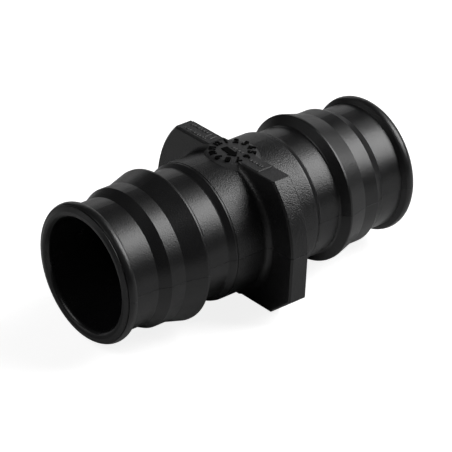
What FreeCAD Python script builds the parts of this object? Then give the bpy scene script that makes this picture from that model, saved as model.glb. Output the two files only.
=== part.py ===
"""Expansion coupling for flexible plastic pipe, moulded in one piece.

Two barbed inserts stand end to end, one on each side of a winged flange. +X runs along the bore,
+Z points to the flat crown of the flange, and the origin is the centre of the coupling.
"""
import FreeCAD, Part
import enum
import math
import os
import re

import Sketcher

# Driving sizes in millimetres: alias, value, what it measures.
SIZES = (
    ("bore_diameter", 18.8, "waterway through the whole coupling"),
    ("mouth_radius", 0.9, "rounding of the bore at each end"),
    ("flange_thickness", 3.6, "winged flange from face to face"),
    ("flange_top_height", 12.1, "axis up to the flat crown of the flange"),
    ("flange_bottom_depth", 12.0, "axis down to the flat underside of the flange"),
    ("flange_bottom_width", 23.9, "flat underside between its two corners"),
    ("wing_radius", 17.1, "rounded upper edge of each wing, about the axis"),
    ("wing_foot_width", 33.4, "across the lower corners of the two wings"),
    ("wing_foot_depth", 8.2, "axis down to the lower corners of the wings"),
    ("flange_edge_bevel", 0.3, "bevel all round both faces of the flange"),
    ("flange_root_radius", 1.05, "hollow rounding where the body meets the flange"),
    ("raised_pad_start", 3.8, "axis to the inner end of the raised pad on the left wing"),
    ("raised_pad_length", 7.6, "raised pad along the crown of the left wing"),
    ("raised_pad_height", 0.12, "raised pad above the crown"),
    ("sunk_pad_start", 8.2, "axis to the inner end of the sunk pad on the right wing"),
    ("sunk_pad_depth", 0.15, "sunk pad below the crown"),
    ("body_diameter", 23.4, "plain body on each side of the flange"),
    ("body_length", 6.4, "plain body from the flange face to its outer end"),
    ("shoulder_step", 0.08, "small step down at the outer end of the plain body"),
    ("shoulder_rim_length", 0.35, "narrow rim beyond the step"),
    ("shoulder_length", 1.1, "slope from the rim down to the neck"),
    ("neck_diameter", 22.1, "neck between the shoulder and the barb"),
    ("neck_length", 4.2, "neck between the shoulder and the barb"),
    ("barb_back_length", 1.0, "steep back of the barb"),
    ("barb_diameter", 25.36, "crest of the barb"),
    ("barb_crest_length", 0.35, "narrow land along the crest of the barb"),
    ("barb_ramp_length", 3.7, "slope from the crest down to the middle land"),
    ("middle_land_diameter", 23.32, "middle land"),
    ("middle_land_length", 2.75, "middle land"),
    ("middle_ramp_length", 1.9, "slope from the middle land down to the nose land"),
    ("nose_land_diameter", 21.44, "nose land behind the lip bead"),
    ("nose_land_length", 4.3, "nose land behind the lip bead"),
    ("lip_back_length", 0.45, "steep back of the lip bead"),
    ("lip_diameter", 23.4, "crest of the lip bead"),
    ("lip_round_radius", 1.4, "rounding over the lip bead"),
    ("lip_round_back", 0.65, "rounding from its back end to the crest of the bead"),
    ("lip_round_front", 0.85, "rounding from the crest of the bead to its front end"),
    ("lip_ledge_width", 0.18, "flat ledge in front of the rounding"),
    ("lip_ledge_depth", 0.14, "ledge behind the rim of the end cone"),
    ("end_cone_length", 0.3, "shallow cone from that rim to the end face"),
    ("end_face_diameter", 21.0, "outside of the flat end face"),
    ("barb_crest_radius", 0.15, "rounding along both edges of the barb crest"),
    ("barb_root_radius", 0.4, "hollow rounding where the barb rises from the neck"),
    ("shoulder_foot_radius", 0.5, "hollow rounding where the shoulder meets the neck"),
)

# Radii that the lip bead's rounding starts and ends at.
LIP_CENTRE = "lip_diameter / 2 - lip_round_radius"
LIP_BACK_END = f"{LIP_CENTRE} + sqrt(lip_round_radius ^ 2 - lip_round_back ^ 2)"
LIP_FRONT_END = f"{LIP_CENTRE} + sqrt(lip_round_radius ^ 2 - lip_round_front ^ 2)"

# Outline of half the coupling, from the middle of the flange out to the end face: each stretch's
# name, its length along the bore, and the radius that it ends at. A stretch with no length is upright.
INSERT_OUTLINE = (
    ("flange_half", "flange_thickness / 2", "body_diameter / 2"),
    ("body", "body_length", "body_diameter / 2"),
    ("step", None, "body_diameter / 2 - shoulder_step"),
    ("rim", "shoulder_rim_length", "body_diameter / 2 - shoulder_step"),
    ("shoulder", "shoulder_length", "neck_diameter / 2"),
    ("neck", "neck_length", "neck_diameter / 2"),
    ("barb_back", "barb_back_length", "barb_diameter / 2"),
    ("barb_crest", "barb_crest_length", "barb_diameter / 2"),
    ("barb_ramp", "barb_ramp_length", "middle_land_diameter / 2"),
    ("middle_land", "middle_land_length", "middle_land_diameter / 2"),
    ("middle_ramp", "middle_ramp_length", "nose_land_diameter / 2"),
    ("nose_land", "nose_land_length", "nose_land_diameter / 2"),
    ("lip_back", "lip_back_length", LIP_BACK_END),
    ("lip_round", "lip_round_back + lip_round_front", LIP_FRONT_END),
    ("lip_ledge", None, f"{LIP_FRONT_END} - lip_ledge_width"),
    ("cone_rim", "lip_ledge_depth", f"{LIP_FRONT_END} - lip_ledge_width"),
    ("end_cone", "end_cone_length", "end_face_diameter / 2"),
    ("end_face", None, "0"),
)

SHEET = "Sizes"
NODE = "coupling_body"

# Two lengths nearer than this are the same length.
SAME = 1e-4


class PointOf(enum.IntEnum):
    """A point of a line or an arc, as the sketcher numbers them."""
    START = 1
    END = 2
    CENTRE = 3


class OwnAxis(enum.IntEnum):
    """An axis of a sketch itself, as the sketcher numbers them."""
    ACROSS = -1
    UP = -2


START, END, CENTRE = PointOf
ORIGIN = (OwnAxis.ACROSS, START)


def make_sheet(doc):
    """Fill the spreadsheet with the driving sizes."""
    sheet = doc.addObject("Spreadsheet::Sheet", SHEET)
    for row, (alias, value, note) in enumerate(SIZES, start=1):
        sheet.set(f"A{row}", str(value))
        sheet.setAlias(f"A{row}", alias)
        sheet.set(f"B{row}", note)
    doc.recompute()
    return sheet


def bound(formula):
    """Write a formula of aliases in the form that other objects use."""
    return re.sub(r"[a-z]+_[a-z_]+", rf"{SHEET}.\g<0>", formula)


def size(sheet, formula):
    """Work out a formula of aliases in millimetres."""
    return float(sheet.evalExpression(bound(formula)))


def origin_feature(body, role):
    """Find one of the body's own origin planes or axes."""
    return next(feature for feature in body.Origin.OriginFeatures if feature.Role == role)


def new_sketch(body, name, role):
    """Start a sketch on one of the body's origin planes."""
    sketch = body.newObject("Sketcher::SketchObject", name)
    sketch.AttachmentSupport = [(origin_feature(body, role), "")]
    sketch.MapMode = "FlatFace"
    return sketch


def rule(sketch, kind, *where):
    """Add a constraint that has no size."""
    sketch.addConstraint(Sketcher.Constraint(kind, *where))


def dimension(sketch, sheet, name, formula, kind, *where):
    """Add a named dimension and bind it to the sheet."""
    index = sketch.addConstraint(Sketcher.Constraint(kind, *where, size(sheet, formula)))
    sketch.renameConstraint(index, name)
    sketch.setExpression(f"Constraints.{name}", bound(formula))


def arc_between(first, second, centre):
    """Make the short arc from one point to another, and tell which of its ends is which.

    An arc in a sketch always runs anticlockwise, so one that turns the other way is stored with
    its ends exchanged.
    """
    first_arm = FreeCAD.Vector(*first, 0) - FreeCAD.Vector(*centre, 0)
    second_arm = FreeCAD.Vector(*second, 0) - FreeCAD.Vector(*centre, 0)
    circle = Part.Circle(FreeCAD.Vector(*centre, 0), FreeCAD.Vector(0, 0, 1), first_arm.Length)
    first_angle = math.atan2(first_arm.y, first_arm.x)
    second_angle = math.atan2(second_arm.y, second_arm.x)
    if first_arm.cross(second_arm).z > 0:
        return Part.ArcOfCircle(circle, first_angle, second_angle), (START, END)
    return Part.ArcOfCircle(circle, second_angle, first_angle), (END, START)


def add_loop(sketch, points, arc_centres=None):
    """Join points into a closed loop, and return the first and the second end of each stretch.

    A stretch is a line, or an arc where arc_centres gives its centre by the index of its first point.
    """
    arc_centres = arc_centres or {}
    ends = []
    for index, point in enumerate(points):
        following = points[(index + 1) % len(points)]
        if index in arc_centres:
            edge, order = arc_between(point, following, arc_centres[index])
        else:
            edge = Part.LineSegment(FreeCAD.Vector(*point, 0), FreeCAD.Vector(*following, 0))
            order = (START, END)
        sketch.addGeometry(edge)
        ends.append([(index, end) for end in order])
    for index, (_, second) in enumerate(ends):
        first = ends[(index + 1) % len(ends)][0]
        rule(sketch, "Coincident", *second, *first)
    return ends


def add_rectangle(sketch, sheet, left, right, low, high):
    """Draw a rectangle between four formulas."""
    corners = [(size(sheet, across), size(sheet, up))
               for across, up in ((left, low), (left, high), (right, high), (right, low))]
    add_loop(sketch, corners)
    left_side, top_side, right_side, bottom_side = range(4)
    rule(sketch, "Vertical", left_side)
    rule(sketch, "Vertical", right_side)
    rule(sketch, "Horizontal", top_side)
    rule(sketch, "Horizontal", bottom_side)
    dimension(sketch, sheet, "left", left, "DistanceX", *ORIGIN, left_side, START)
    dimension(sketch, sheet, "low", low, "DistanceY", *ORIGIN, left_side, START)
    dimension(sketch, sheet, "right", right, "DistanceX", *ORIGIN, right_side, START)
    dimension(sketch, sheet, "high", high, "DistanceY", *ORIGIN, right_side, START)


def pad(body, name, sketch, width):
    """Pad a sketch by half of a width to each side of its plane."""
    feature = body.newObject("PartDesign::Pad", name)
    feature.Profile = sketch
    feature.SideType = "Symmetric"
    feature.setExpression("Length", bound(width))
    return feature


def cut_through(body, name, sketch):
    """Cut a sketch's outline right through the body, to both sides of its plane."""
    feature = body.newObject("PartDesign::Pocket", name)
    feature.Profile = sketch
    feature.SideType = "Symmetric"
    feature.Type = "ThroughAll"


def revolve_at_both_ends(body, name, sketch):
    """Turn a sketch once round the bore's axis, and repeat it on the other side of the flange."""
    near = body.newObject("PartDesign::Revolution", f"Near{name}")
    near.Profile = sketch
    near.ReferenceAxis = (origin_feature(body, "X_Axis"), [""])
    both = body.newObject("PartDesign::Mirrored", f"Both{name}")
    both.Originals = [near]
    both.MirrorPlane = (origin_feature(body, "YZ_Plane"), [""])
    body.Tip = both


def flange_plate(body, doc, sheet):
    """Make the winged plate: flat crown, round shoulders, straight flanks and bevelled foot."""
    top = size(sheet, "flange_top_height")
    wing = size(sheet, "wing_radius")
    bottom = -size(sheet, "flange_bottom_depth")
    corner = math.sqrt(wing ** 2 - top ** 2)
    foot_width = size(sheet, "wing_foot_width / 2")
    foot = -size(sheet, "wing_foot_depth")
    under = size(sheet, "flange_bottom_width / 2")
    points = [(-corner, top), (corner, top), (wing, 0), (foot_width, foot), (under, bottom),
              (-under, bottom), (-foot_width, foot), (-wing, 0)]
    crown, right_arc, right_flank, right_slope, underside, _, left_flank, left_arc = range(len(points))

    sketch = new_sketch(body, "FlangeOutline", "YZ_Plane")
    ends = add_loop(sketch, points, {right_arc: (0, 0), left_arc: (0, 0)})
    rule(sketch, "Coincident", right_arc, CENTRE, *ORIGIN)
    rule(sketch, "Coincident", left_arc, CENTRE, *ORIGIN)
    rule(sketch, "PointOnObject", *ends[right_arc][1], OwnAxis.ACROSS)
    rule(sketch, "PointOnObject", *ends[left_arc][0], OwnAxis.ACROSS)
    rule(sketch, "Horizontal", crown)
    rule(sketch, "Symmetric", underside, START, underside, END, OwnAxis.UP)
    rule(sketch, "Symmetric", right_flank, END, left_flank, START, OwnAxis.UP)
    rule(sketch, "Equal", right_arc, left_arc)
    dimension(sketch, sheet, "wing", "wing_radius", "Radius", right_arc)
    dimension(sketch, sheet, "top", "flange_top_height", "DistanceY", *ORIGIN, crown, START)
    dimension(sketch, sheet, "bottom", "flange_bottom_depth", "DistanceY", underside, START, *ORIGIN)
    dimension(sketch, sheet, "under", "flange_bottom_width", "DistanceX", underside, END, underside, START)
    dimension(sketch, sheet, "foot_down", "wing_foot_depth", "DistanceY", right_slope, START, *ORIGIN)
    feet = (left_flank, START, right_flank, END)
    dimension(sketch, sheet, "foot_across", "wing_foot_width", "DistanceX", *feet)
    plate = pad(body, "FlangePlate", sketch, "flange_thickness")

    doc.recompute()
    faces = [f"Face{number}" for number, face in enumerate(plate.Shape.Faces, start=1)
             if abs(abs(face.normalAt(0, 0).x) - 1) < SAME]
    bevel = body.newObject("PartDesign::Chamfer", "FlangeBevel")
    bevel.Base = (plate, faces)
    bevel.setExpression("Size", bound("flange_edge_bevel"))


def flange_root(body, sheet):
    """Round the corner between the body and the flange, cut off level with the crown and the underside.

    The rounding runs on through the plate, so that it fills the plate's bevel wherever it covers it.
    """
    face = size(sheet, "flange_thickness / 2")
    skin = size(sheet, "body_diameter / 2")
    radius = size(sheet, "flange_root_radius")
    points = [(0, 0), (0, skin + radius), (face, skin + radius), (face + radius, skin), (face + radius, 0)]
    middle, filling, hollow, outer_end, _ = range(len(points))

    sketch = new_sketch(body, "FlangeRootProfile", "XZ_Plane")
    ends = add_loop(sketch, points, {hollow: (face + radius, skin + radius)})
    rule(sketch, "Coincident", middle, START, *ORIGIN)
    rule(sketch, "Vertical", middle)
    rule(sketch, "Horizontal", filling)
    rule(sketch, "Vertical", outer_end)
    rule(sketch, "PointOnObject", outer_end, END, OwnAxis.ACROSS)
    rule(sketch, "Horizontal", hollow, CENTRE, *ends[hollow][0])
    rule(sketch, "Vertical", hollow, CENTRE, *ends[hollow][1])
    dimension(sketch, sheet, "face", "flange_thickness / 2", "DistanceX", *ORIGIN, *ends[hollow][0])
    dimension(sketch, sheet, "skin", "body_diameter / 2", "DistanceY", *ORIGIN, outer_end, START)
    dimension(sketch, sheet, "radius", "flange_root_radius", "Radius", hollow)
    revolve_at_both_ends(body, "Root", sketch)

    for name, low, high in (("TopTrim", "flange_top_height", "wing_radius"),
                            ("BottomTrim", "-wing_radius", "-flange_bottom_depth")):
        outline = new_sketch(body, f"{name}Outline", "YZ_Plane")
        add_rectangle(outline, sheet, "-body_diameter", "body_diameter", low, high)
        cut_through(body, name, outline)


def wing_pads(body, sheet):
    """Raise a pad on the crown of the left wing, and sink one into the crown of the right wing."""
    raised = new_sketch(body, "RaisedPadOutline", "YZ_Plane")
    add_rectangle(raised, sheet, "raised_pad_start", "raised_pad_start + raised_pad_length",
                  "flange_top_height - flange_edge_bevel", "flange_top_height + raised_pad_height")
    pad(body, "RaisedPad", raised, "flange_thickness - flange_edge_bevel * 2")

    sunk = new_sketch(body, "SunkPadOutline", "YZ_Plane")
    add_rectangle(sunk, sheet, "-wing_radius", "-sunk_pad_start",
                  "flange_top_height - sunk_pad_depth", "wing_radius")
    cut_through(body, "SunkPad", sunk)


def barbed_inserts(body, sheet):
    """Turn both inserts from one outline: body, shoulder, neck, barb, two lands and the lip bead."""
    points = [(0, 0), (0, size(sheet, INSERT_OUTLINE[0][2]))]
    for _, length, radius in INSERT_OUTLINE:
        distance = points[-1][0] + (size(sheet, length) if length else 0)
        points.append((distance, size(sheet, radius)))
    names = [name for name, _, _ in INSERT_OUTLINE]
    # The upright at the middle of the flange comes before the stretches of the outline.
    middle = 0
    lip = 1 + names.index("lip_round")
    lip_centre = (points[lip][0] + size(sheet, "lip_round_back"), size(sheet, LIP_CENTRE))

    sketch = new_sketch(body, "InsertProfile", "XZ_Plane")
    ends = add_loop(sketch, points, {lip: lip_centre})
    rule(sketch, "Coincident", middle, START, *ORIGIN)
    rule(sketch, "Vertical", middle)
    radius_before = None
    for stretch, (name, length, radius) in enumerate(INSERT_OUTLINE, start=1):
        first, second = ends[stretch]
        if length is None:
            rule(sketch, "Vertical", stretch)
        else:
            dimension(sketch, sheet, f"{name}_long", length, "DistanceX", *first, *second)
        if radius == "0":
            rule(sketch, "PointOnObject", *second, OwnAxis.ACROSS)
        elif radius == radius_before:
            rule(sketch, "Horizontal", stretch)
        else:
            dimension(sketch, sheet, f"{name}_radius", radius, "DistanceY", *ORIGIN, *second)
        radius_before = radius
    rule(sketch, "Horizontal", *ends[1][0], *ends[1][1])
    dimension(sketch, sheet, "lip_rounding", "lip_round_radius", "Radius", lip)
    revolve_at_both_ends(body, "Insert", sketch)


def waterway(body, sheet):
    """Bore the coupling from end to end."""
    sketch = new_sketch(body, "BoreOutline", "YZ_Plane")
    radius = size(sheet, "bore_diameter / 2")
    sketch.addGeometry(Part.Circle(FreeCAD.Vector(), FreeCAD.Vector(0, 0, 1), radius))
    rule(sketch, "Coincident", 0, CENTRE, *ORIGIN)
    dimension(sketch, sheet, "bore", "bore_diameter", "Diameter", 0)
    cut_through(body, "Bore", sketch)


def outline_place(sheet, stretch):
    """Find the distance from the middle and the radius at which a stretch of the outline ends."""
    distance = 0
    for name, length, radius in INSERT_OUTLINE:
        distance += size(sheet, length) if length else 0
        if name == stretch:
            return distance, size(sheet, radius)
    raise ValueError(f"no stretch is called {stretch}")


def ring_edges(shape, distance, radius):
    """Name the two ring edges that have this radius, at this distance to each side of the middle."""
    found = []
    for number, edge in enumerate(shape.Edges, start=1):
        curve = edge.Curve
        if not isinstance(curve, Part.Circle) or math.hypot(curve.Center.y, curve.Center.z) > SAME:
            continue
        if abs(abs(curve.Center.x) - distance) < SAME and abs(curve.Radius - radius) < SAME:
            found.append(f"Edge{number}")
    if len(found) != 2:
        raise ValueError(f"{len(found)} ring edges at {distance} mm with radius {radius} mm")
    return found


def round_edges(body, doc, name, radius_alias, places):
    """Round the ring edges at these places with one radius."""
    doc.recompute()
    base = body.Tip
    feature = body.newObject("PartDesign::Fillet", name)
    feature.Base = (base, [edge for place in places for edge in ring_edges(base.Shape, *place)])
    feature.setExpression("Radius", bound(radius_alias))


def roundings(body, doc, sheet):
    """Round the mouths of the bore, the barb crests and the hollow corners of the neck."""
    end_distance, _ = outline_place(sheet, "end_face")
    round_edges(body, doc, "Mouths", "mouth_radius", [(end_distance, size(sheet, "bore_diameter / 2"))])
    round_edges(body, doc, "BarbCrests", "barb_crest_radius",
                [outline_place(sheet, "barb_back"), outline_place(sheet, "barb_crest")])
    round_edges(body, doc, "BarbRoots", "barb_root_radius", [outline_place(sheet, "neck")])
    round_edges(body, doc, "ShoulderFeet", "shoulder_foot_radius", [outline_place(sheet, "shoulder")])


def check(doc, body):
    """Stop if any feature failed or the coupling isn't one sound solid."""
    for feature in doc.Objects:
        if "Invalid" in feature.State or "Error" in feature.State:
            raise RuntimeError(f"{feature.Name} failed: {feature.State}")
    shape = body.Shape
    if shape.isNull() or not shape.isValid() or len(shape.Solids) != 1:
        raise RuntimeError(f"{body.Label} isn't one sound solid")


def main():
    """Build the coupling and write its STEP file."""
    doc = FreeCAD.newDocument("ExpansionCoupling")
    sheet = make_sheet(doc)
    body = doc.addObject("PartDesign::Body", "CouplingBody")
    body.Label = NODE
    body.Placement = FreeCAD.Placement()
    flange_plate(body, doc, sheet)
    flange_root(body, sheet)
    wing_pads(body, sheet)
    barbed_inserts(body, sheet)
    waterway(body, sheet)
    roundings(body, doc, sheet)
    doc.recompute()
    check(doc, body)
    os.makedirs("parts", exist_ok=True)
    body.Shape.exportStep(f"parts/{body.Label}.step")


main()
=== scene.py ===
"""Black moulded coupling for expanded plastic pipe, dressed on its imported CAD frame.

Sizes are in metres and angles in degrees, in the frame's own axes: +X runs along the bore, +Z points to the
flat crown of the flange, +Y to the left wing with its raised pad, and -Y to the right wing with its sunk pad.
The moulding itself is the CAD node, which keeps its shape and gets its finish here. What the mould leaves on
it is added as raised pieces: a date dial on a pad of its own, rows of small marks, the edge of the sunk pad,
the parting line and a ring in front of each lip.
"""
import logging
import math
from contextlib import contextmanager
from dataclasses import dataclass, field
from enum import Enum, IntEnum
from typing import Any, Callable, Iterator

import bpy
from mathutils import Matrix, Vector


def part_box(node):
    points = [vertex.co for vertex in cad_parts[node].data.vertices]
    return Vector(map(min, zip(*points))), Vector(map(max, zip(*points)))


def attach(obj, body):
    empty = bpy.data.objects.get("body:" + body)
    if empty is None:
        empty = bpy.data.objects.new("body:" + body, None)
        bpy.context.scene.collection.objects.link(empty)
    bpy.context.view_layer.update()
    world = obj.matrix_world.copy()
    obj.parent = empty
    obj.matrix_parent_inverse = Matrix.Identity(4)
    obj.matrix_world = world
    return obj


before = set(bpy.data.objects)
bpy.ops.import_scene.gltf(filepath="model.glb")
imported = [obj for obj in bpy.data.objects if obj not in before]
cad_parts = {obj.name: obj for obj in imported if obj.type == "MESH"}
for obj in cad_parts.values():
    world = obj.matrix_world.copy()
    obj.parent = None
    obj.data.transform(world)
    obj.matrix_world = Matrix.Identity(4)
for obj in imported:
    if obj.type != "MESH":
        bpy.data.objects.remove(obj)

MM = 0.001
NODE = "coupling_body"
BODY = "root"
WHITE = (1.0, 1.0, 1.0, 1.0)
# The value that a noise pattern varies around.
NOISE_MIDDLE = 0.5
# A face looks along an axis where its normal's part along it is more than this.
FACING = 0.9
# Edges flatter than this are shaded smooth, unless a piece has an angle of its own.
SMOOTH_ANGLE = 30.0

Colour = tuple[float, float, float, float]
Point = tuple[float, float, float]

log = logging.getLogger("coupling")


class Mark(Enum):
    """A small raised mark on the crown, by its length along the wing."""

    DOT = 0.26 * MM
    DASH = 0.52 * MM
    LONG_DASH = 0.80 * MM


class ColourMix(IntEnum):
    """The sockets of a Mix node that mixes colours, by their place among its inputs and outputs."""

    SHARE = 0
    FIRST = 6
    SECOND = 7
    RESULT = 2


class Amount:
    """A node's output, on which Python's arithmetic adds Math nodes."""

    def __init__(self, graph: "Graph", socket: bpy.types.NodeSocket) -> None:
        """Wrap a socket.

        Args:
            graph: the nodes that the socket belongs to.
            socket: the output socket.
        """
        self.graph = graph
        self.socket = socket

    def _with(self, operation: str, *values: Any) -> "Amount":
        """Add a Math node.

        Args:
            operation: the Math node's operation.
            values: its inputs in order, as numbers or amounts.

        Returns:
            The node's result.
        """
        return self.graph.node("ShaderNodeMath", {"operation": operation}, dict(enumerate(values)))

    def __add__(self, other: Any) -> "Amount":
        """Add another amount or number."""
        return self._with("ADD", self, other)

    def __radd__(self, other: Any) -> "Amount":
        """Add this amount to a number."""
        return self._with("ADD", other, self)

    def __sub__(self, other: Any) -> "Amount":
        """Take away another amount or number."""
        return self._with("SUBTRACT", self, other)

    def __rsub__(self, other: Any) -> "Amount":
        """Take this amount away from a number."""
        return self._with("SUBTRACT", other, self)

    def __mul__(self, other: Any) -> "Amount":
        """Multiply by another amount or number."""
        return self._with("MULTIPLY", self, other)

    def __rmul__(self, other: Any) -> "Amount":
        """Multiply a number by this amount."""
        return self._with("MULTIPLY", other, self)

    def __abs__(self) -> "Amount":
        """Drop the sign."""
        return self._with("ABSOLUTE", self)


class Graph:
    """The nodes of a material or of the world, with the first shader among them ready to be fed."""

    def __init__(self, owner: bpy.types.Material | bpy.types.World, shader: str, output: str) -> None:
        """Start with the nodes that Blender gives.

        Args:
            owner: the new material or world.
            shader: the name of its first shader node.
            output: the name of its output node.
        """
        owner.use_nodes = True
        self.owner = owner
        self.tree = owner.node_tree
        self.shader = self.tree.nodes[shader]
        self.output = self.tree.nodes[output]

    @classmethod
    def of_material(cls, name: str) -> "Graph":
        """Start a new material of that name."""
        return cls(bpy.data.materials.new(name), "Principled BSDF", "Material Output")

    @classmethod
    def of_world(cls, name: str) -> "Graph":
        """Start a new world of that name."""
        return cls(bpy.data.worlds.new(name), "Background", "World Output")

    def node(self, kind: str, settings: dict[str, Any], inputs: dict[int | str, Any],
             output: int | str = 0) -> Amount:
        """Add a node.

        Args:
            kind: the node's type.
            settings: its own properties, which are set first.
            inputs: numbers, colours or amounts by the name or the index of its sockets.
            output: the name or the index of the output that is wanted.

        Returns:
            That output.
        """
        made = self.tree.nodes.new(kind)
        for name, value in settings.items():
            setattr(made, name, value)
        for key, value in inputs.items():
            self.feed(made.inputs[key], value)
        return Amount(self, made.outputs[output])

    def feed(self, socket: bpy.types.NodeSocket, value: Any) -> None:
        """Set a socket, or link an amount to it.

        Args:
            socket: the input socket.
            value: a number, a colour or an amount.
        """
        if isinstance(value, Amount):
            self.tree.links.new(value.socket, socket)
        else:
            socket.default_value = value

    def shade(self, name: str, value: Any) -> None:
        """Feed the named socket of the first shader."""
        self.feed(self.shader.inputs[name], value)

    def point(self) -> Amount:
        """Give the point on the part."""
        return self.node("ShaderNodeTexCoord", {}, {}, "Object")

    def coordinate(self, point: Amount, axis: str) -> Amount:
        """Give the coordinate of a point along the named axis, in metres."""
        return self.node("ShaderNodeSeparateXYZ", {}, {0: point}, axis)

    def radius(self, point: Amount) -> Amount:
        """Give how far a point lies from the bore's axis, in metres."""
        across = self.node("ShaderNodeVectorMath", {"operation": "MULTIPLY"}, {0: point, 1: (0, 1, 1)})
        return self.node("ShaderNodeVectorMath", {"operation": "LENGTH"}, {0: across}, "Value")

    def noise(self, point: Amount, feature: float, octaves: float, fineness: float = 0.5) -> Amount:
        """Add a noise pattern.

        Args:
            point: where it is read.
            feature: the size of its features, in metres.
            octaves: how many finer octaves it has.
            fineness: how strong those are.

        Returns:
            Its value, around NOISE_MIDDLE.
        """
        sockets = {"Vector": point, "Scale": 1 / feature, "Detail": octaves, "Roughness": fineness}
        return self.node("ShaderNodeTexNoise", {}, sockets)

    def step(self, value: Amount, low: float, high: float) -> Amount:
        """Rise smoothly from 0 to 1.

        Args:
            value: what it depends on.
            low: the value up to which it is 0.
            high: the value from which it is 1.

        Returns:
            The rising amount.
        """
        sockets = {"Value": value, "From Min": low, "From Max": high}
        return self.node("ShaderNodeMapRange", {"interpolation_type": "SMOOTHSTEP"}, sockets)

    def blend(self, share: Amount, first: Any, second: Any) -> Amount:
        """Mix two colours.

        Args:
            share: how much of the second one.
            first: the first colour.
            second: the second colour.

        Returns:
            The mixed colour.
        """
        sockets = {ColourMix.SHARE: share, ColourMix.FIRST: first, ColourMix.SECOND: second}
        return self.node("ShaderNodeMix", {"data_type": "RGBA"}, sockets, ColourMix.RESULT)

    def bump(self, height: Amount) -> None:
        """Let a height in metres shape the first shader's normal."""
        sockets = {"Strength": 1.0, "Distance": 1.0, "Height": height}
        self.shade("Normal", self.node("ShaderNodeBump", {}, sockets))

    def first(self) -> Amount:
        """Give what the first shader sends out."""
        return Amount(self, self.shader.outputs[0])

    def show_camera(self, seen: Amount) -> None:
        """Let the camera see another shader, while the first one goes on to light the part.

        Args:
            seen: the shader that the camera sees.
        """
        by_camera = self.node("ShaderNodeLightPath", {}, {}, "Is Camera Ray")
        mixed = self.node("ShaderNodeMixShader", {}, {0: by_camera, 1: self.first(), 2: seen})
        self.feed(self.output.inputs["Surface"], mixed)


@dataclass(frozen=True)
class MouldedPolymer:
    """Satin black plastic: spark-eroded grain on the middle, smoother inserts and bore, and a duller crown
    whose paler colour is painted light.
    """

    name: str = "moulded_polymer"
    colour: Colour = (0.008, 0.008, 0.0085, 1.0)
    worn_colour: Colour = (0.016, 0.016, 0.0165, 1.0)
    cloud_feature: float = 7.0 * MM
    cloud_octaves: float = 3.0
    flow_feature: float = 3.0 * MM
    flow_octaves: float = 4.0
    flow_fineness: float = 0.6
    grained_roughness: float = 0.32
    smooth_roughness: float = 0.30
    bore_roughness: float = 0.26
    roughness_spread: float = 0.10
    grain_feature: float = 0.22 * MM
    grain_octaves: float = 2.0
    grain_height: float = 0.062 * MM
    smooth_height: float = 0.024 * MM
    grained_length: float = 8.2 * MM
    bore_radius: float = 9.4 * MM
    feather: float = 0.3 * MM
    # Painted light: the crown's paler colour makes the top look lighter than the rest of the plastic; its
    # higher roughness is the real finish.
    crown_colour: Colour = (0.027, 0.027, 0.028, 1.0)
    crown_roughness: float = 0.50
    crown_level: float = 11.9 * MM
    crown_reach: float = 6.0 * MM
    crown_feather: float = 0.05 * MM
    draft: float = 0.05

    def material(self) -> bpy.types.Material:
        """Make the material.

        Returns:
            The material, which reads only the place on the part.
        """
        graph = Graph.of_material(self.name)
        point = graph.point()
        radius = graph.radius(point)
        along = abs(graph.coordinate(point, "X"))
        level = graph.coordinate(point, "Z")
        smooth = graph.step(along, self.grained_length, self.grained_length + self.feather)
        outside = graph.step(radius, self.bore_radius + self.feather, self.bore_radius + self.feather * 2)
        grained = (1 - smooth) * outside
        crown = graph.step(level, self.crown_level, self.crown_level + self.crown_feather)
        crown = crown * (1 - graph.step(along, self.crown_reach, self.crown_reach + self.feather))

        cloud = graph.noise(point, self.cloud_feature, self.cloud_octaves)
        flow = graph.noise(point, self.flow_feature, self.flow_octaves, self.flow_fineness)
        colour = graph.blend(cloud * flow, self.colour, self.worn_colour)
        # Painted light: the crown is blended towards its paler colour.
        graph.shade("Base Color", graph.blend(crown, colour, self.crown_colour))

        finish = self.smooth_roughness + grained * (self.grained_roughness - self.smooth_roughness)
        finish = finish * outside + (1 - outside) * self.bore_roughness
        finish = finish + crown * (self.crown_roughness - self.grained_roughness)
        graph.shade("Roughness", finish + (flow - NOISE_MIDDLE) * self.roughness_spread)

        height = self.smooth_height + grained * (self.grain_height - self.smooth_height)
        grain = graph.noise(point, self.grain_feature, self.grain_octaves) * height * outside
        # Each half of the mould has its draft, so the sides lean back a little from the parting line.
        graph.bump(grain - abs(level) * self.draft)
        return graph.owner


@dataclass(frozen=True)
class DialPolymer:
    """The same plastic on the dial's numerals and pointer, matte, with a near-black colour and faint shine as
    painted shade.
    """

    name: str = "dial_painted_shade"
    # Painted shade: the near-black colour and faint shine make the numerals and pointer look as dark as
    # shaded marks.
    colour: Colour = (0.0015, 0.0015, 0.0015, 1.0)
    shine: float = 0.02
    roughness: float = 0.50
    roughness_spread: float = 0.10
    mottle_feature: float = 0.5 * MM
    mottle_octaves: float = 2.0

    def material(self) -> bpy.types.Material:
        """Make the material.

        Returns:
            The material.
        """
        graph = Graph.of_material(self.name)
        graph.shade("Base Color", self.colour)
        graph.shade("Specular IOR Level", self.shine)
        mottle = graph.noise(graph.point(), self.mottle_feature, self.mottle_octaves)
        graph.shade("Roughness", self.roughness + (mottle - NOISE_MIDDLE) * self.roughness_spread)
        return graph.owner


@contextmanager
def editing() -> Iterator[None]:
    """Work on the active object in edit mode, and leave that mode afterwards."""
    bpy.ops.object.mode_set(mode="EDIT")
    yield
    bpy.ops.object.mode_set(mode="OBJECT")


def only(piece: bpy.types.Object) -> None:
    """Select one object and make it the active one.

    Args:
        piece: the object.
    """
    bpy.ops.object.select_all(action="DESELECT")
    piece.select_set(True)
    bpy.context.view_layer.objects.active = piece


def settle(piece: bpy.types.Object) -> None:
    """Move an object's place into its mesh.

    Args:
        piece: the object.
    """
    only(piece)
    bpy.ops.object.transform_apply(location=True, rotation=True, scale=True)


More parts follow.
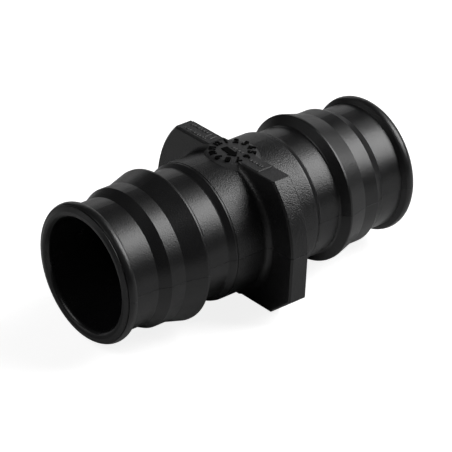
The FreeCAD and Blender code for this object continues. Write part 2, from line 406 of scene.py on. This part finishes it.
def join(pieces: list[bpy.types.Object], name: str) -> bpy.types.Object:
    """Join meshes into one object.

    Args:
        pieces: the objects, each with its own mesh.
        name: the name of the joined object.

    Returns:
        The joined object.
    """
    only(pieces[0])
    for piece in pieces:
        piece.select_set(True)
    if len(pieces) > 1:
        bpy.ops.object.join()
    joined = bpy.context.view_layer.objects.active
    joined.name = name
    settle(joined)
    return joined


def add_object(name: str, data: bpy.types.ID) -> bpy.types.Object:
    """Put a new object into the scene.

    Args:
        name: its name.
        data: its mesh, lamp or camera.

    Returns:
        The object.
    """
    made = bpy.data.objects.new(name, data)
    bpy.context.scene.collection.objects.link(made)
    return made


def add_box(middle: Point, size: Point) -> bpy.types.Object:
    """Add a box, which is then the only object selected.

    Args:
        middle: its middle.
        size: its sizes along the three axes.

    Returns:
        The box.
    """
    bpy.ops.object.select_all(action="DESELECT")
    bpy.ops.mesh.primitive_cube_add(size=1, location=middle)
    box = bpy.context.object
    box.scale = size
    settle(box)
    return box


def select_faces(piece: bpy.types.Object, wanted: Callable[[bpy.types.MeshPolygon], bool]) -> None:
    """Select faces of an object, and nothing else, for the next edit.

    Args:
        piece: the object.
        wanted: says of a face whether it is selected.
    """
    only(piece)
    with editing():
        bpy.ops.mesh.select_mode(type="FACE")
        bpy.ops.mesh.select_all(action="DESELECT")
    for face in piece.data.polygons:
        face.select = wanted(face)


def dress(piece: bpy.types.Object, material: bpy.types.Material) -> None:
    """Give an object its material, and report it.

    Args:
        piece: a CAD node or a new piece.
        material: its material.
    """
    piece.data.materials.clear()
    piece.data.materials.append(material)
    log.info("%s: %d faces", piece.name, len(piece.data.polygons))


def finish_piece(piece: bpy.types.Object, material: bpy.types.Material, angle: float = SMOOTH_ANGLE) -> None:
    """Give a new piece its shading, its material and its place among the parts.

    Args:
        piece: the finished mesh.
        material: its material.
        angle: edges flatter than this are shaded smooth.
    """
    only(piece)
    bpy.ops.object.shade_smooth_by_angle(angle=math.radians(angle))
    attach(piece, BODY)
    dress(piece, material)


@dataclass
class DateDial:
    """The moulder's date dial: twelve numerals round a pointer, on a low round pad that widens the crown.

    Heights are measured from the bore's axis. The numerals and the pointer reach from marks_low, inside the
    pad, to marks_high.
    """

    centre: tuple[float, float] = (-0.05 * MM, -0.19 * MM)
    pad_radius: float = 3.90 * MM
    pad_height: float = 12.12 * MM
    pad_foot: float = 9.7 * MM
    pad_slope: float = 52.0
    pad_rounding: float = 0.6 * MM
    rounding_steps: int = 4
    pad_sides: int = 96
    marks_low: float = 11.98 * MM
    marks_high: float = 12.24 * MM
    marks_smooth_angle: float = 20.0
    weld: float = 0.0001 * MM
    numerals: int = 12
    twelve_angle: float = 98.0
    ring_radius: float = 3.16 * MM
    numeral_size: float = 1.82 * MM
    pair_size: float = 1.42 * MM
    first_pair: int = 10
    numeral_weight: float = 0.072 * MM
    numeral_spacing: float = 0.94
    curve_steps: int = 2
    pointer_start: tuple[float, float] = (-0.50 * MM, 1.25 * MM)
    pointer_turn: float = -6.4
    shaft_length: float = 2.25 * MM
    shaft_width: float = 1.15 * MM
    head_length: float = 1.20 * MM
    head_width: float = 2.00 * MM
    head_flare: float = 0.05
    tip_share: float = 0.08

    def pad(self) -> bpy.types.Object:
        """Make the pad as a low cone with a rounded rim, whose foot is sunk into the body.

        Returns:
            The pad.
        """
        tall = self.pad_height - self.pad_foot
        foot_radius = self.pad_radius + tall / math.tan(math.radians(self.pad_slope))
        middle = (*self.centre, self.pad_height - tall / 2)
        bpy.ops.object.select_all(action="DESELECT")
        bpy.ops.mesh.primitive_cone_add(
            vertices=self.pad_sides, radius1=foot_radius, radius2=self.pad_radius,
            depth=tall, location=middle)
        pad = bpy.context.object
        settle(pad)
        select_faces(pad, lambda face: face.normal.z > FACING)
        with editing():
            bpy.ops.mesh.bevel(offset=self.pad_rounding, segments=self.rounding_steps, affect="EDGES")
        return pad

    def numeral(self, number: int) -> bpy.types.Object:
        """Make one raised numeral.

        Args:
            number: the numeral.

        Returns:
            The prism, with its top towards the rim of the dial.
        """
        angle = math.radians(self.twelve_angle) - 2 * math.pi * number / self.numerals
        place = (
            self.centre[0] + self.ring_radius * math.cos(angle),
            self.centre[1] + self.ring_radius * math.sin(angle),
            (self.marks_low + self.marks_high) / 2,
        )
        bpy.ops.object.select_all(action="DESELECT")
        bpy.ops.object.text_add(location=place, rotation=(0, 0, angle - math.pi / 2))
        text = bpy.context.object.data
        text.body = str(number)
        text.align_x = "CENTER"
        text.align_y = "CENTER"
        text.size = self.numeral_size if number < self.first_pair else self.pair_size
        text.offset = self.numeral_weight
        text.space_character = self.numeral_spacing
        text.extrude = (self.marks_high - self.marks_low) / 2
        text.resolution_u = self.curve_steps
        bpy.ops.object.convert(target="MESH")
        return bpy.context.object

    def pointer(self) -> bpy.types.Object:
        """Make the pointer as an upright prism: a shaft whose end face is drawn out into a head.

        The head flares out over a small share of its length, and narrows to a small share of its width.

        Returns:
            The prism, which points towards the right wing.
        """
        tall = self.marks_high - self.marks_low
        shaft = add_box((0, -self.shaft_length / 2, 0), (self.shaft_width, self.shaft_length, tall))
        select_faces(shaft, lambda face: face.normal.y < -FACING)
        flare = self.head_length * self.head_flare
        taper = self.head_length * (1 - self.head_flare)
        with editing():
            bpy.ops.mesh.extrude_region_move(TRANSFORM_OT_translate={"value": (0, -flare, 0)})
            bpy.ops.transform.resize(value=(self.head_width / self.shaft_width, 1, 1))
            bpy.ops.mesh.extrude_region_move(TRANSFORM_OT_translate={"value": (0, -taper, 0)})
            bpy.ops.transform.resize(value=(self.tip_share, 1, 1))
        shaft.location = (*self.pointer_start, (self.marks_low + self.marks_high) / 2)
        shaft.rotation_euler = (0, 0, math.radians(self.pointer_turn))
        settle(shaft)
        return shaft

    def build(self) -> None:
        """Raise the pad, which has the crown's rougher finish and painted-light paler colour all over, and on
        it the numerals and the pointer in painted shade.
        """
        # Painted light: the pad counts as crown from its foot up, so it takes the crown's paler colour all
        # over.
        crown = MouldedPolymer("pad_polymer", crown_level=self.pad_foot).material()
        painted_shade = DialPolymer().material()
        finish_piece(join([self.pad()], "dial_pad"), crown)
        prisms = [self.numeral(number) for number in range(1, self.numerals + 1)]
        for name, marks in (("dial_numerals", prisms), ("dial_pointer", [self.pointer()])):
            piece = join(marks, name)
            with editing():
                bpy.ops.mesh.select_all(action="SELECT")
                bpy.ops.mesh.remove_doubles(threshold=self.weld)
                bpy.ops.mesh.normals_make_consistent(inside=False)
            finish_piece(piece, painted_shade, self.marks_smooth_angle)


@dataclass(frozen=True)
class Row:
    """Marks in a row, which runs towards the right wing from its start.

    The row's middle along the bore is across, and the marks' size along the bore is wide.
    """

    across: float
    start: float
    wide: float
    marks: tuple[Mark, ...]


@dataclass
class CrownMarks:
    """Small chamfered marks on the crown: on the left pad, beside the pointer and before the right pad.

    The chamfer is a share of a mark's relief. Starts and places are counted from the middle of the flange
    towards the left wing, and heights from the bore's axis.
    """

    pad_height: float = 12.22 * MM
    crown_height: float = 12.10 * MM
    gap: float = 0.27 * MM
    relief: float = 0.10 * MM
    chamfer_share: float = 0.8
    rear_row: Row = Row(0.66 * MM, 10.9 * MM, 0.60 * MM, (
        Mark.DASH, Mark.DOT, Mark.LONG_DASH, Mark.DOT, Mark.DASH, Mark.DASH))
    front_row: Row = Row(-0.92 * MM, 10.7 * MM, 0.50 * MM, (
        Mark.DOT, Mark.DASH, Mark.DOT, Mark.LONG_DASH, Mark.DASH, Mark.DOT, Mark.DASH, Mark.DOT))
    right_row: Row = Row(0.10 * MM, -4.60 * MM, 0.60 * MM, (
        Mark.DOT, Mark.DASH, Mark.DOT, Mark.DASH, Mark.DOT))
    year_row: Row = Row(0.70 * MM, 0.65 * MM, 0.55 * MM, (
        Mark.DASH, Mark.DOT, Mark.DASH, Mark.DASH))
    bar_places: tuple[float, float] = (4.87 * MM, 5.98 * MM)
    bar_across: float = 0.20 * MM
    bar_length: float = 1.65 * MM
    bar_width: float = 0.22 * MM
    edge_place: float = -8.12 * MM
    edge_length: float = 3.0 * MM
    edge_width: float = 0.34 * MM
    edge_height: float = 11.96 * MM
    edge_relief: float = 0.17 * MM

    def block(self, middle: Point, wide: float, long: float, relief: float) -> bpy.types.Object:
        """Make one raised block with chamfered edges, half sunk into its pad.

        Args:
            middle: its middle, at the height of the pad.
            wide: its size along the bore.
            long: its size along the wing.
            relief: how far it stands out of the pad.

        Returns:
            The block.
        """
        block = add_box(middle, (wide, long, relief * 2))
        with editing():
            bpy.ops.mesh.select_all(action="SELECT")
            bpy.ops.mesh.bevel(offset=relief * self.chamfer_share, segments=1, affect="EDGES")
        return block

    def blocks(self, row: Row, height: float) -> list[bpy.types.Object]:
        """Lay the marks of a row.

        Args:
            row: the row.
            height: the height of the pad.

        Returns:
            Their blocks.
        """
        made = []
        along = row.start
        for mark in row.marks:
            middle = (row.across, along - mark.value / 2, height)
            made.append(self.block(middle, row.wide, mark.value, self.relief))
            along -= mark.value + self.gap
        return made

    def build(self, material: bpy.types.Material) -> None:
        """Raise the rows, the bars and the edge of the right pad.

        Args:
            material: their material.
        """
        groups = (
            ("left_marks", self.pad_height, (self.rear_row, self.front_row)),
            ("right_marks", self.crown_height, (self.right_row,)),
            ("year_marks", self.crown_height, (self.year_row,)),
        )
        for name, height, rows in groups:
            marks = [block for row in rows for block in self.blocks(row, height)]
            finish_piece(join(marks, name), material)
        bars = []
        for place in self.bar_places:
            middle = (self.bar_across, place, self.pad_height)
            bars.append(self.block(middle, self.bar_length, self.bar_width, self.relief))
        finish_piece(join(bars, "left_bars"), material)
        middle = (0.0, self.edge_place, self.edge_height)
        edge = self.block(middle, self.edge_length, self.edge_width, self.edge_relief)
        finish_piece(join([edge], "pad_edge"), material)


@dataclass
class Ridge:
    """A fine ridge of the mould, laid along the outline that a plane cuts out of the moulding.

    What lies nearer to the axis than bore_limit is the outline of the bore, which has no ridge.
    """

    name: str
    point: Point
    normal: Point
    radius: float
    bore_limit: float = 10.6 * MM
    weld: float = 0.001 * MM
    round_steps: int = 1

    def lay(self, node: bpy.types.Object, reach: float) -> bpy.types.Object:
        """Cut out the outline, leave out the bore, and make the rest round.

        Args:
            node: the moulding, which is only read.
            reach: how far the ridge goes on both sides of the middle of the flange.

        Returns:
            The ridge.
        """
        line = add_object(self.name, node.data.copy())
        only(line)
        with editing():
            bpy.ops.mesh.select_all(action="SELECT")
            bpy.ops.mesh.remove_doubles(threshold=self.weld)
            bpy.ops.mesh.select_all(action="SELECT")
            bpy.ops.mesh.bisect(plane_co=self.point, plane_no=self.normal, clear_inner=True, clear_outer=True)
            bpy.ops.mesh.select_all(action="DESELECT")
        for vertex in line.data.vertices:
            inside = math.hypot(vertex.co.y, vertex.co.z) < self.bore_limit
            vertex.select = inside or abs(vertex.co.x) > reach
        with editing():
            bpy.ops.mesh.delete(type="VERT")
        bpy.ops.object.convert(target="CURVE")
        line.data.bevel_depth = self.radius
        line.data.bevel_resolution = self.round_steps
        line.data.use_fill_caps = True
        bpy.ops.object.convert(target="MESH")
        return line


@dataclass
class MouldLines:
    """The fine lines that the mould leaves: where its halves part along both sides, and round each lip.

    The first three sizes are the ridges' radii. A reach is counted from the middle of the flange, and
    whole_reach lies beyond both ends.
    """

    fine: float = 0.040 * MM
    coarse: float = 0.080 * MM
    ring: float = 0.050 * MM
    whole_reach: float = 40.0 * MM
    flange_reach: float = 2.05 * MM
    ring_place: float = 29.93 * MM

    def build(self, node: bpy.types.Object, material: bpy.types.Material) -> None:
        """Lay a fine line all along, a coarser one over the flange, and a ring in front of each lip.

        Args:
            node: the moulding, which is only read.
            material: the lines' material.
        """
        lines = (
            ("parting_line", self.fine, self.whole_reach),
            ("flange_flash", self.coarse, self.flange_reach),
        )
        for name, radius, reach in lines:
            line = Ridge(name, (0.0, 0.0, 0.0), (0.0, 0.0, 1.0), radius).lay(node, reach)
            finish_piece(line, material)
        rings = []
        for side in (-1, 1):
            ring = Ridge("lip_ring", (side * self.ring_place, 0.0, 0.0), (1.0, 0.0, 0.0), self.ring)
            rings.append(ring.lay(node, self.whole_reach))
        finish_piece(join(rings, "lip_rings"), material)


def direction(azimuth: float, elevation: float) -> Vector:
    """Point away from the part, by an angle round it and one above the horizon.

    Args:
        azimuth: the angle round the part, 0 in front of it.
        elevation: the angle above the horizon.

    Returns:
        The direction, of length 1.
    """
    turn, rise = math.radians(azimuth), math.radians(elevation)
    return Vector((math.sin(turn) * math.cos(rise), -math.cos(turn) * math.cos(rise), math.sin(rise)))


@dataclass(frozen=True)
class Lamp:
    """A soft box of the studio, placed by its direction from the part."""

    name: str
    azimuth: float
    elevation: float
    distance: float
    width: float
    height: float
    brightness: float

    def build(self, aim: Vector) -> None:
        """Hang the lamp, facing the part.

        Args:
            aim: the point that it faces.
        """
        lamp = bpy.data.lights.new(self.name, "AREA")
        lamp.shape = "RECTANGLE"
        lamp.size = self.width
        lamp.size_y = self.height
        # A flat lamp sends out pi times its brightness for each square metre of it.
        lamp.energy = self.brightness * math.pi * self.width * self.height
        holder = add_object(self.name, lamp)
        away = direction(self.azimuth, self.elevation)
        holder.location = aim + away * self.distance
        holder.rotation_euler = away.to_track_quat("Z", "Y").to_euler()


@dataclass
class Studio:
    """A white table under one large soft box, with weaker ones around, and the camera.

    The focal length and the sensor are in millimetres, as Blender takes them.
    """

    floor_height: float
    aim: Vector = field(default_factory=lambda: Vector((-1.116, -0.126, -1.426)) * MM)
    camera_azimuth: float = -40.234
    camera_elevation: float = 29.401
    camera_roll: float = 0.516
    camera_distance: float = 436.3 * MM
    focal_length: float = 214.5
    sensor: float = 36.0
    nearest: float = 0.01
    farthest: float = 20.0
    floor_size: float = 4.0
    floor_colour: Colour = (0.60, 0.60, 0.60, 1.0)
    floor_roughness: float = 0.9
    floor_shine: float = 0.0
    floor_glow: float = 0.85
    surroundings: float = 0.03
    # Name, azimuth, elevation, distance, width, height and brightness of each lamp.
    lamps: tuple[Lamp, ...] = (
        Lamp("key_box", 60, 41, 0.62, 0.34, 0.43, 6.7),
        Lamp("key_edge", 90, 41, 0.62, 0.32, 0.43, 1.0),
        Lamp("left_panel", -98, 48, 0.70, 0.44, 0.28, 1.9),
        Lamp("left_low", -128, 13, 0.70, 0.36, 0.22, 0.6),
        Lamp("back_panel", 140, 14, 0.70, 0.62, 0.24, 0.6),
    )

    def build_floor(self) -> None:
        """Lay the table under the part: white to the camera, with the part's shadow on it."""
        bpy.ops.object.select_all(action="DESELECT")
        bpy.ops.mesh.primitive_plane_add(size=self.floor_size, location=(0, 0, self.floor_height))
        floor = bpy.context.object
        floor.name = "floor"
        settle(floor)
        graph = Graph.of_material("white_table")
        graph.shade("Base Color", self.floor_colour)
        graph.shade("Roughness", self.floor_roughness)
        graph.shade("Specular IOR Level", self.floor_shine)
        glow = graph.node("ShaderNodeEmission", {}, {"Strength": self.floor_glow})
        graph.show_camera(graph.node("ShaderNodeAddShader", {}, {0: graph.first(), 1: glow}))
        floor.data.materials.append(graph.owner)

    def build_surroundings(self) -> None:
        """Make the room: white where the camera sees it, and dim where it lights the part."""
        graph = Graph.of_world("room")
        graph.shade("Color", WHITE)
        graph.shade("Strength", self.surroundings)
        graph.show_camera(graph.node("ShaderNodeBackground", {}, {"Color": WHITE}))
        bpy.context.scene.world = graph.owner

    def build_camera(self) -> None:
        """Set up the camera where the photograph was taken from."""
        camera = bpy.data.cameras.new("camera")
        camera.lens = self.focal_length
        camera.sensor_width = self.sensor
        camera.clip_start = self.nearest
        camera.clip_end = self.farthest
        holder = add_object("camera", camera)
        away = direction(self.camera_azimuth, self.camera_elevation)
        level = away.to_track_quat("Z", "Y").to_matrix().to_4x4()
        tilt = Matrix.Rotation(math.radians(self.camera_roll), 4, "Z")
        holder.matrix_world = Matrix.Translation(self.aim + away * self.camera_distance) @ level @ tilt
        bpy.context.scene.camera = holder

    def build(self) -> None:
        """Build the floor, the room, the lamps and the camera."""
        self.build_floor()
        self.build_surroundings()
        for lamp in self.lamps:
            lamp.build(self.aim)
        self.build_camera()
        bpy.context.scene.view_settings.view_transform = "Standard"
        log.info("studio: %d lamps", len(self.lamps))


def main() -> None:
    """Dress the moulding, add what is raised on it, and set up the studio."""
    logging.basicConfig(level=logging.INFO, format="%(name)s: %(message)s")
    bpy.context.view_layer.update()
    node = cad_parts[NODE]
    moulded = MouldedPolymer().material()
    dress(node, moulded)
    studio = Studio(floor_height=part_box(NODE)[0].z)
    DateDial().build()
    CrownMarks().build(moulded)
    MouldLines().build(node, moulded)
    studio.build()


if __name__ == "__main__":
    main()
